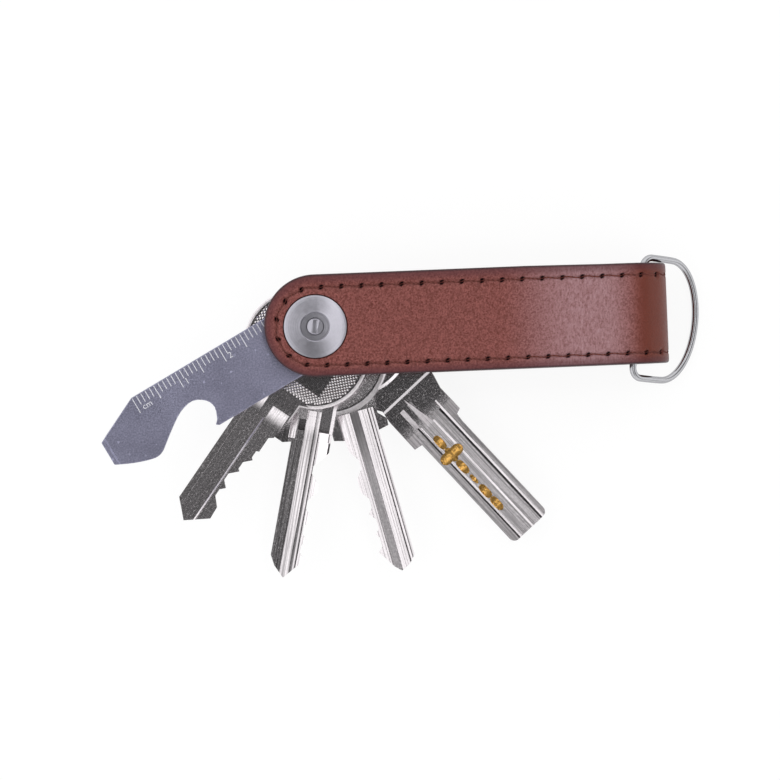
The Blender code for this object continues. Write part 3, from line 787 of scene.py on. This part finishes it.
def leather_sheet(settings, line, lanes, step, seam_depth):
    """A closed sheet folded along the strap, from lanes of (distance off its middle, depth) round it."""
    straight = np.linspace(0, line["length"], math.ceil(line["length"] / step), endpoint=False)
    bend = np.linspace(0, math.pi * SEAM_LANE, math.ceil(math.pi * SEAM_LANE / step), endpoint=False)
    half = np.concatenate([straight, line["length"] + bend])
    distance = np.concatenate([half, half + seam_length(line) / 2, [0.0]])
    middle, out_x, out_y = track(line, distance)
    lane = np.array([off for off, _ in lanes])[:, None] + np.zeros(len(distance))
    depth = np.array([down for _, down in lanes])[:, None] + np.zeros(len(distance))
    outside = np.arange(len(lanes))[:, None] < len(lanes) // 2

    off_seam = lane - SEAM_LANE
    gap = from_hole(line, distance)[None, :]
    turn = math.radians(HOLE_SLANT)
    long_way = gap * math.sin(turn) + off_seam * math.cos(turn)
    short_way = gap * math.cos(turn) - off_seam * math.sin(turn)
    hole = np.exp(-(long_way / 0.58) ** 2 - (short_way / 0.4) ** 2) * outside
    groove = np.exp(-(off_seam / 0.34) ** 2) * outside
    depth = depth + seam_depth * (hole * 0.75 + groove * 0.16)
    margin = np.clip(off_seam / (settings.half_width / MM - SEAM_LANE), 0, 1)
    along = middle + lane * out_x
    x = np.interp(along, line["along"], line["x"])
    taper = TAPER * np.clip((x - TAPER_FROM) / (TAPER_TO - TAPER_FROM), 0, 1) * np.clip(out_y, 0, 1)
    places = on_strap(line, along, lane * out_y + margin * (settings.shift / MM - taper), depth)

    deselect()
    bpy.ops.mesh.primitive_grid_add(x_subdivisions=len(distance) - 1, y_subdivisions=len(lanes) - 1, size=1)
    piece = bpy.context.object
    piece.data.vertices.foreach_set("co", places.reshape(-1))
    wear = np.stack([margin, hole, groove, np.ones_like(margin)], axis=-1)
    layer = piece.data.color_attributes.new("wear", "FLOAT_COLOR", "POINT")
    layer.data.foreach_set("color", wear.reshape(-1))
    piece.data.update()
    merge(piece)
    return piece


def clear_strap_masks(piece, radius):
    """Clear the strap masks round the pivot, where cutting the recess leaves them unset."""
    vertices = piece.data.vertices
    layer = piece.data.color_attributes["wear"]
    places = np.empty(len(vertices) * 3)
    wear = np.empty(len(vertices) * 4)
    vertices.foreach_get("co", places)
    layer.data.foreach_get("color", wear)
    places = places.reshape(-1, 3)
    wear = wear.reshape(-1, 4)
    wear[np.hypot(places[:, 0], places[:, 1]) < radius * MM, :3] = 0.0
    layer.data.foreach_set("color", wear.reshape(-1))


def seam_thread(line, depth_of, radius):
    """A thread that runs right round the seam and dips into each needle hole."""
    distance = np.linspace(0, seam_length(line), STITCHES * 12, endpoint=False)
    gap = from_hole(line, distance)
    pitch = seam_length(line) / STITCHES
    middle, out_x, out_y = track(line, distance)
    lane = SEAM_LANE + 0.14 * np.sin(gap / pitch * 2 * math.pi)
    dip = np.exp(-(gap / 0.4) ** 2)
    places = on_strap(line, middle + lane * out_x, lane * out_y, depth_of(dip))
    curve = bpy.data.curves.new("seam", "CURVE")
    curve.dimensions = "3D"
    curve.bevel_depth = radius * MM
    curve.bevel_resolution = 1
    spline = curve.splines.new("POLY")
    spline.points.add(len(places) - 1)
    spline.points.foreach_set("co", np.column_stack([places, np.ones(len(places))]).reshape(-1))
    spline.use_cyclic_u = True
    piece = bpy.data.objects.new("seam", curve)
    bpy.context.collection.objects.link(piece)
    activate(piece)
    bpy.ops.object.convert(target="MESH")
    merge(piece)
    smooth(piece, 80)
    return piece


class OrganiserOperator(bpy.types.Operator):
    """Shared settings of the operators."""

    bl_options = {"REGISTER", "UNDO"}


class ORGANISER_OT_leather(OrganiserOperator):
    """Make the outer leather: a folded sheet with a sunk seam, needle holes and rounded burnished edges"""

    bl_idname = "organiser.leather"
    bl_label = "Outer leather"

    def execute(self, context):
        settings = context.scene.organiser_strap
        line = strap_line(settings)
        half = settings.half_width / MM
        face = [(off, 0.0) for off in FACE_LANES]
        rim = [(half - 0.5, 0.03), (half - 0.3, 0.1), (half - 0.14, 0.22), (half - 0.04, 0.4), (half, 0.65),
               (half, 1.0), (half - 0.04, 1.25), (half - 0.15, 1.42), (half - 0.35, OUTER_THICK)]
        inside = [(8.0, OUTER_THICK), (4.0, OUTER_THICK), (0, OUTER_THICK)]
        piece = leather_sheet(settings, line, face + rim + inside, 0.2, 1.0)
        height = settings.height / MM
        shelf = height - RECESS_DEPTH
        cut(piece, lathe([
            (0, -1), (RECESS_RADIUS, -1), (RECESS_RADIUS, RECESS_DEPTH), (BORE_RADIUS, RECESS_DEPTH),
            (BORE_RADIUS, shelf), (RECESS_RADIUS, shelf), (RECESS_RADIUS, height + 1), (0, height + 1)]))
        clear_strap_masks(piece, RECESS_RADIUS + 0.15)
        smooth(piece, 50)
        settle(piece, "strap_leather", "case", "strap_outer", "saddle_leather", leather_material(settings))
        return {"FINISHED"}


class ORGANISER_OT_lining(OrganiserOperator):
    """Make the lining leather inside the fold"""

    bl_idname = "organiser.lining"
    bl_label = "Lining leather"

    def execute(self, context):
        settings = context.scene.organiser_strap
        line = strap_line(settings)
        half = settings.half_width / MM - 0.05
        outer = [(off, LINING_TOP) for off in (0, 4, 8, half - 0.3)]
        rim = [(half - 0.08, LINING_TOP + 0.08), (half, LINING_TOP + 0.3), (half, LINING_BOTTOM - 0.3),
               (half - 0.1, LINING_BOTTOM - 0.08), (half - 0.35, LINING_BOTTOM)]
        inner = [(off, LINING_BOTTOM) for off in (8, 6, 4, 2, 0)]
        piece = leather_sheet(settings, line, outer + rim + inner, 0.8, 0.0)
        height = settings.height / MM
        cut(piece, lathe([(0, -1), (BORE_RADIUS, -1), (BORE_RADIUS, height + 1), (0, height + 1)]))
        smooth(piece, 50)
        settle(piece, "lining_leather", "case", "strap_lining", "lining_leather", lining_material(settings))
        return {"FINISHED"}


class ORGANISER_OT_seam(OrganiserOperator):
    """Make the needle thread outside and the bobbin thread inside"""

    bl_idname = "organiser.seam"
    bl_label = "Seam"

    def execute(self, context):
        settings = context.scene.organiser_strap
        line = strap_line(settings)
        material = thread_material(settings)
        needle = seam_thread(line, lambda dip: 0.17 + 0.8 * dip, THREAD_RADIUS)
        settle(needle, "needle_stitches", "case", "needle_thread", "thread", material)
        bobbin = seam_thread(line, lambda dip: LINING_BOTTOM + 0.12 - 0.4 * dip, BOBBIN_RADIUS)
        settle(bobbin, "bobbin_stitches", "case", "bobbin_thread", "thread", material)
        return {"FINISHED"}


class ORGANISER_OT_pivot(OrganiserOperator):
    """Make the dished front disc and the bolt, and finish the washers"""

    bl_idname = "organiser.pivot"
    bl_label = "Pivot bolt, disc and washers"

    def execute(self, context):
        settings = context.scene.organiser_metal
        material = turned_material(settings)
        low, high = (corner.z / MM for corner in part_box("front_disc"))
        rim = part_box("front_disc")[1].x / MM
        disc = lathe([
            (DISC_BORE, low), (rim - 0.1, low), (rim, low + 0.1), (rim, high - 0.6),
            (rim - 0.06, high - 0.52), (rim - 0.22, high - 0.47), (5.2, high - 0.31), (4.0, high - 0.15),
            (3.2, high - 0.03), (3.0, high), (2.9, high - 0.04), (2.8, high - 0.24),
            (DISC_BORE, high - 0.2), (DISC_BORE, low)], 128)
        smooth(disc, 25)
        settle(disc, "dished_disc", "case", "front_disc", "turned_steel", material)
        bolt = rounded_copy("pivot_bolt", settings.edge_round)
        settle(bolt, "bolt", "case", "pivot_bolt", "turned_steel", material)
        nylon = washer_material(settings)
        for name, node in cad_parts.items():
            if name.startswith("spacer_washer"):
                node.data.materials.clear()
                node.data.materials.append(nylon)
        return {"FINISHED"}


class ORGANISER_OT_tool(OrganiserOperator):
    """Make the multi-tool with its etched ruler"""

    bl_idname = "organiser.tool"
    bl_label = "Multi-tool"

    def execute(self, context):
        settings = context.scene.organiser_metal
        tool = rounded_copy("multi_tool", settings.edge_round * 1.6)
        settle(tool, "flat_tool", "tool", "multi_tool", "tool_steel", tool_material(settings))
        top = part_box("multi_tool")[1].z
        marks = [self.ticks(38.6, 4, 1, -4.6, True), self.ticks(33.625, 3, 10, -3.6),
                 self.ticks(38.6, 4, 10, -3.2)]
        for text, x, y in (("1", 27.4, -3.9), ("2", 17.4, -3.9), ("cm", 36.6, -3.9)):
            marks.append(self.number(text, x, y))
        piece = join(marks)
        piece.matrix_world = (Matrix.Translation((0, 0, top)) @ Matrix.Rotation(
            math.radians(SWING["multi_tool"]), 4, "Z"))
        settle(piece, "ruler_marks", "tool", None, "tool_steel", marks_material(settings))
        return {"FINISHED"}

    @staticmethod
    def ticks(first, count, pitch, end, minor=False):
        """A row of thin raised lines from the ruler's edge; minor ones fill each gap between the fives."""
        deselect()
        bpy.ops.mesh.primitive_cube_add(size=1)
        piece = bpy.context.object
        edit(piece)
        bpy.ops.transform.resize(value=(0.17 * MM, (end - RULER_EDGE) * MM, 0.03 * MM))
        shift = TICK_PITCH if minor else 0.0
        bpy.ops.transform.translate(value=((first - shift) * MM, (RULER_EDGE + end) / 2 * MM, 0))
        leave_edit()
        repeat(piece, count, -pitch * TICK_PITCH)
        if minor:
            repeat(piece, RULER_GAPS, -5 * TICK_PITCH)
        return piece

    @staticmethod
    def number(text, x, y):
        """A thin raised number that reads from the tip towards the pivot."""
        deselect()
        bpy.ops.object.text_add()
        piece = bpy.context.object
        piece.data.body = text
        piece.data.size = 1.75 * MM
        piece.data.extrude = 0.015 * MM
        piece.data.resolution_u = 4
        piece.data.align_x = "CENTER"
        piece.data.align_y = "CENTER"
        bpy.ops.object.convert(target="MESH")
        piece = bpy.context.object
        piece.matrix_world = Matrix.Translation((x * MM, y * MM, 0)) @ Matrix.Rotation(math.pi, 4, "Z")
        activate(piece)
        bpy.ops.object.transform_apply(location=True, rotation=True, scale=True)
        return piece


class ORGANISER_OT_keys(OrganiserOperator):
    """Make the four keys with chamfered bows and their milled and plated finish"""

    bl_idname = "organiser.keys"
    bl_label = "Keys"

    def execute(self, context):
        settings = context.scene.organiser_metal
        # Node, body, name, slot, finish, start of the blade and strength of the mottle
        rows = (("key_a", "first_key", "knurled_key", "nickel_plate", key_a_detail, 22.4, 0.055),
                ("key_b", "second_key", "ribbed_key", "nickel_plate", key_b_detail, 16.0, 0.04),
                ("key_c", "third_key", "banded_key", "nickel_plate", key_c_detail, 18.0, 0.06),
                ("key_d", "dimple_key", "drilled_key", "bright_nickel", key_d_detail, 60.0, 0.1))
        for node, body, name, slot, detail, blade_start, mottle in rows:
            piece = key_copy(node, settings.rim_chamfer, blade_start)
            finishes = [nickel_material(f"nickel, {name}", settings, SWING[node], detail, mottle)]
            if node == "key_a":
                self.add_knurls(piece)
            if node == "key_d":
                finishes.append(brass_material(settings))
            settle(piece, name, body, node, slot, *finishes)
            if node == "key_d":
                self.show_brass(piece)
        return {"FINISHED"}

    @staticmethod
    def add_knurls(piece):
        """Fill the sunk field on both sides of the first key's bow with pyramids, round a plain panel."""
        low, high = (corner.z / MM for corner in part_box("key_a"))
        half = KNURL_PITCH / 2
        middle = (KNURL_ROWS - 1) * half
        fields = []
        for level, turn in ((low + KNURL_SUNK, math.pi), (high - KNURL_SUNK, 0.0)):
            deselect()
            bpy.ops.mesh.primitive_cone_add(vertices=4, radius1=half * MM, depth=KNURL_HEIGHT * MM)
            field = bpy.context.object
            for way in (half, -half):
                repeat(field, KNURL_ROWS, half, way)
            places = np.empty(len(field.data.vertices) * 3)
            field.data.vertices.foreach_get("co", places)
            ahead, across, _ = places.reshape(-1, 5, 3).mean(axis=1).T / MM
            ahead = ahead - middle
            bow = np.hypot(ahead, np.maximum(np.abs(across) - BOW_CENTRE_OFF, 0))
            on_panel = (np.abs(ahead) < PANEL_HALF[0]) & (np.abs(across) < PANEL_HALF[1])
            unwanted = (bow > KNURL_REACH) | (ahead > KNURL_END) | on_panel
            select_nothing(field)
            field.data.vertices.foreach_set("select", np.repeat(unwanted, 5))
            bpy.ops.object.mode_set(mode="EDIT")
            bpy.ops.mesh.delete(type="VERT")
            leave_edit()
            field.matrix_world = (
                Matrix.Rotation(math.radians(SWING["key_a"]), 4, "Z")
                @ Matrix.Translation(Vector((*KNURL_CENTRE, level)) * MM) @ Matrix.Rotation(turn, 4, "X")
                @ Matrix.Translation(Vector((-middle, 0, KNURL_HEIGHT / 2 - 0.02)) * MM))
            activate(field)
            bpy.ops.object.transform_apply(location=True, rotation=True, scale=True)
            fields.append(field)
        join([piece, *fields])

    @staticmethod
    def show_brass(piece):
        """Give the faces inside the drilled pits the brass."""
        low, high = (corner.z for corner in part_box("key_d"))
        turn = Matrix.Rotation(-math.radians(SWING["key_d"]), 3, "Z")
        select_nothing(piece)
        for face in piece.data.polygons:
            place = turn @ face.center / MM
            in_row = 32.0 < place.x < 52.5 and 1.45 < place.y < 3.25
            in_cross = 36.0 < place.x < 38.5 and -0.4 < place.y < 5.3
            deep = low + 0.45 * MM < face.center.z < high - 0.45 * MM
            face.select = deep and (in_row or in_cross)
        activate(piece)
        bpy.ops.object.mode_set(mode="EDIT")
        piece.active_material_index = 1
        bpy.ops.object.material_slot_assign()
        leave_edit()


class ORGANISER_OT_ring(OrganiserOperator):
    """Make the wire ring that hangs in the fold"""

    bl_idname = "organiser.ring"
    bl_label = "Ring"

    def execute(self, context):
        settings = context.scene.organiser_metal
        ring = node_copy("d_ring")
        apply_modifier(ring, "SUBSURF", levels=2, render_levels=2)
        smooth(ring, 80)
        settle(ring, "wire_ring", "ring", "d_ring", "ring_wire", wire_material(settings))
        return {"FINISHED"}


class ORGANISER_OT_stage(OrganiserOperator):
    """Make the floor, the light and the camera"""

    bl_idname = "organiser.stage"
    bl_label = "Stage"

    def execute(self, context):
        settings = context.scene.organiser_stage
        self.make_floor(settings)
        self.make_sky(context, settings)
        self.make_camera(context, settings)
        context.scene.view_settings.view_transform = "Standard"
        return {"FINISHED"}

    @staticmethod
    def make_floor(settings):
        """A wide pale floor that shows white to the camera and in reflections, and keeps a soft shadow."""
        deselect()
        bpy.ops.mesh.primitive_plane_add(size=6, location=(0, 0, -0.0001))
        floor = bpy.context.object
        floor.name = "floor"
        material = bpy.data.materials.new("pale floor")
        material.use_nodes = True
        tree = material.node_tree
        tree.nodes.clear()
        start = Wire(tree)
        ray = start.node("ShaderNodeLightPath", output="Is Camera Ray")
        shown = ray.math("MAXIMUM", ray.out("Is Glossy Ray")).math("MAXIMUM", ray.out("Is Transmission Ray"))
        matte = start.node("ShaderNodeBsdfDiffuse", None, {"Color": opaque(settings.floor)})
        faint = start.node("ShaderNodeBsdfDiffuse", None, {"Color": (0.14, 0.14, 0.14, 1.0)})
        glow = start.node("ShaderNodeEmission", None, {"Color": (0.88, 0.88, 0.88, 1.0)})
        white = start.node("ShaderNodeAddShader", None, {0: faint, 1: glow})
        mixed = start.node("ShaderNodeMixShader", None, {0: shown, 1: matte, 2: white})
        start.node("ShaderNodeOutputMaterial", None, {"Surface": mixed})
        floor.data.materials.append(material)

    @staticmethod
    def make_sky(context, settings):
        """A soft surround that is darker right above, as over a light tent's opening."""
        world = bpy.data.worlds.new("studio")
        world.use_nodes = True
        context.scene.world = world
        tree = world.node_tree
        tree.nodes.clear()
        start = Wire(tree)
        way = start.node("ShaderNodeTexCoord", output="Generated")
        x, y, _ = split(way)
        forward = y + 0.12
        reach = (x * x * 25.0 + forward * forward * 6.0).math("SQRT")
        tent = reach.ease(0.9, 2.3, settings.sky_top, settings.sky_side)
        shade = x.ease(0.34, 0.45) * x.ease(0.95, 0.8) * abs(y).ease(0.7, 0.4) * 0.75
        box = x.ease(0.10, 0.19) * x.ease(0.40, 0.28) * abs(y).ease(0.6, 0.3)
        level = tent * (1.0 - shade) + box * settings.soft_box
        light = start.node("ShaderNodeBackground", None, {"Color": (1.0, 1.0, 1.0, 1.0), "Strength": level})
        start.node("ShaderNodeOutputWorld", None, {"Surface": light})

    @staticmethod
    def make_camera(context, settings):
        """A camera that looks straight down from the photograph's distance."""
        data = bpy.data.cameras.new("camera")
        data.sensor_width = 36.0
        data.lens = settings.lens
        camera = bpy.data.objects.new("camera", data)
        context.collection.objects.link(camera)
        camera.location = settings.camera
        camera.rotation_euler = (0, 0, settings.turn)
        context.scene.camera = camera


OPERATORS = (ORGANISER_OT_leather, ORGANISER_OT_lining, ORGANISER_OT_seam, ORGANISER_OT_pivot,
             ORGANISER_OT_tool, ORGANISER_OT_keys, ORGANISER_OT_ring, ORGANISER_OT_stage)


class ORGANISER_PT_panel(bpy.types.Panel):
    """Lists the pieces and their settings."""

    bl_idname = "ORGANISER_PT_panel"
    bl_label = "Key organiser"
    bl_space_type = "VIEW_3D"
    bl_region_type = "UI"
    bl_category = "Organiser"

    def draw(self, context):
        for operator in OPERATORS:
            self.layout.operator(operator.bl_idname)
        for settings in SETTINGS:
            group = getattr(context.scene, settings)
            box = self.layout.box()
            for name in group.bl_rna.properties.keys():
                if name not in ("rna_type", "name"):
                    box.prop(group, name)


SETTINGS = {"organiser_strap": StrapSettings, "organiser_metal": MetalSettings,
            "organiser_stage": StageSettings}


def register():
    """Register the settings, the operators and the panel."""
    for name, group in SETTINGS.items():
        bpy.utils.register_class(group)
        setattr(bpy.types.Scene, name, PointerProperty(type=group))
    for item in (*OPERATORS, ORGANISER_PT_panel):
        bpy.utils.register_class(item)


def unregister():
    """Take away what register added."""
    for item in (ORGANISER_PT_panel, *reversed(OPERATORS)):
        bpy.utils.unregister_class(item)
    for name, group in SETTINGS.items():
        delattr(bpy.types.Scene, name)
        bpy.utils.unregister_class(group)


def main():
    """Make every piece in turn."""
    register()
    bpy.ops.organiser.stage()
    bpy.ops.organiser.leather()
    bpy.ops.organiser.lining()
    bpy.ops.organiser.seam()
    bpy.ops.organiser.pivot()
    bpy.ops.organiser.tool()
    bpy.ops.organiser.keys()
    bpy.ops.organiser.ring()
    bpy.context.view_layer.update()


if __name__ == "__main__":
    main()
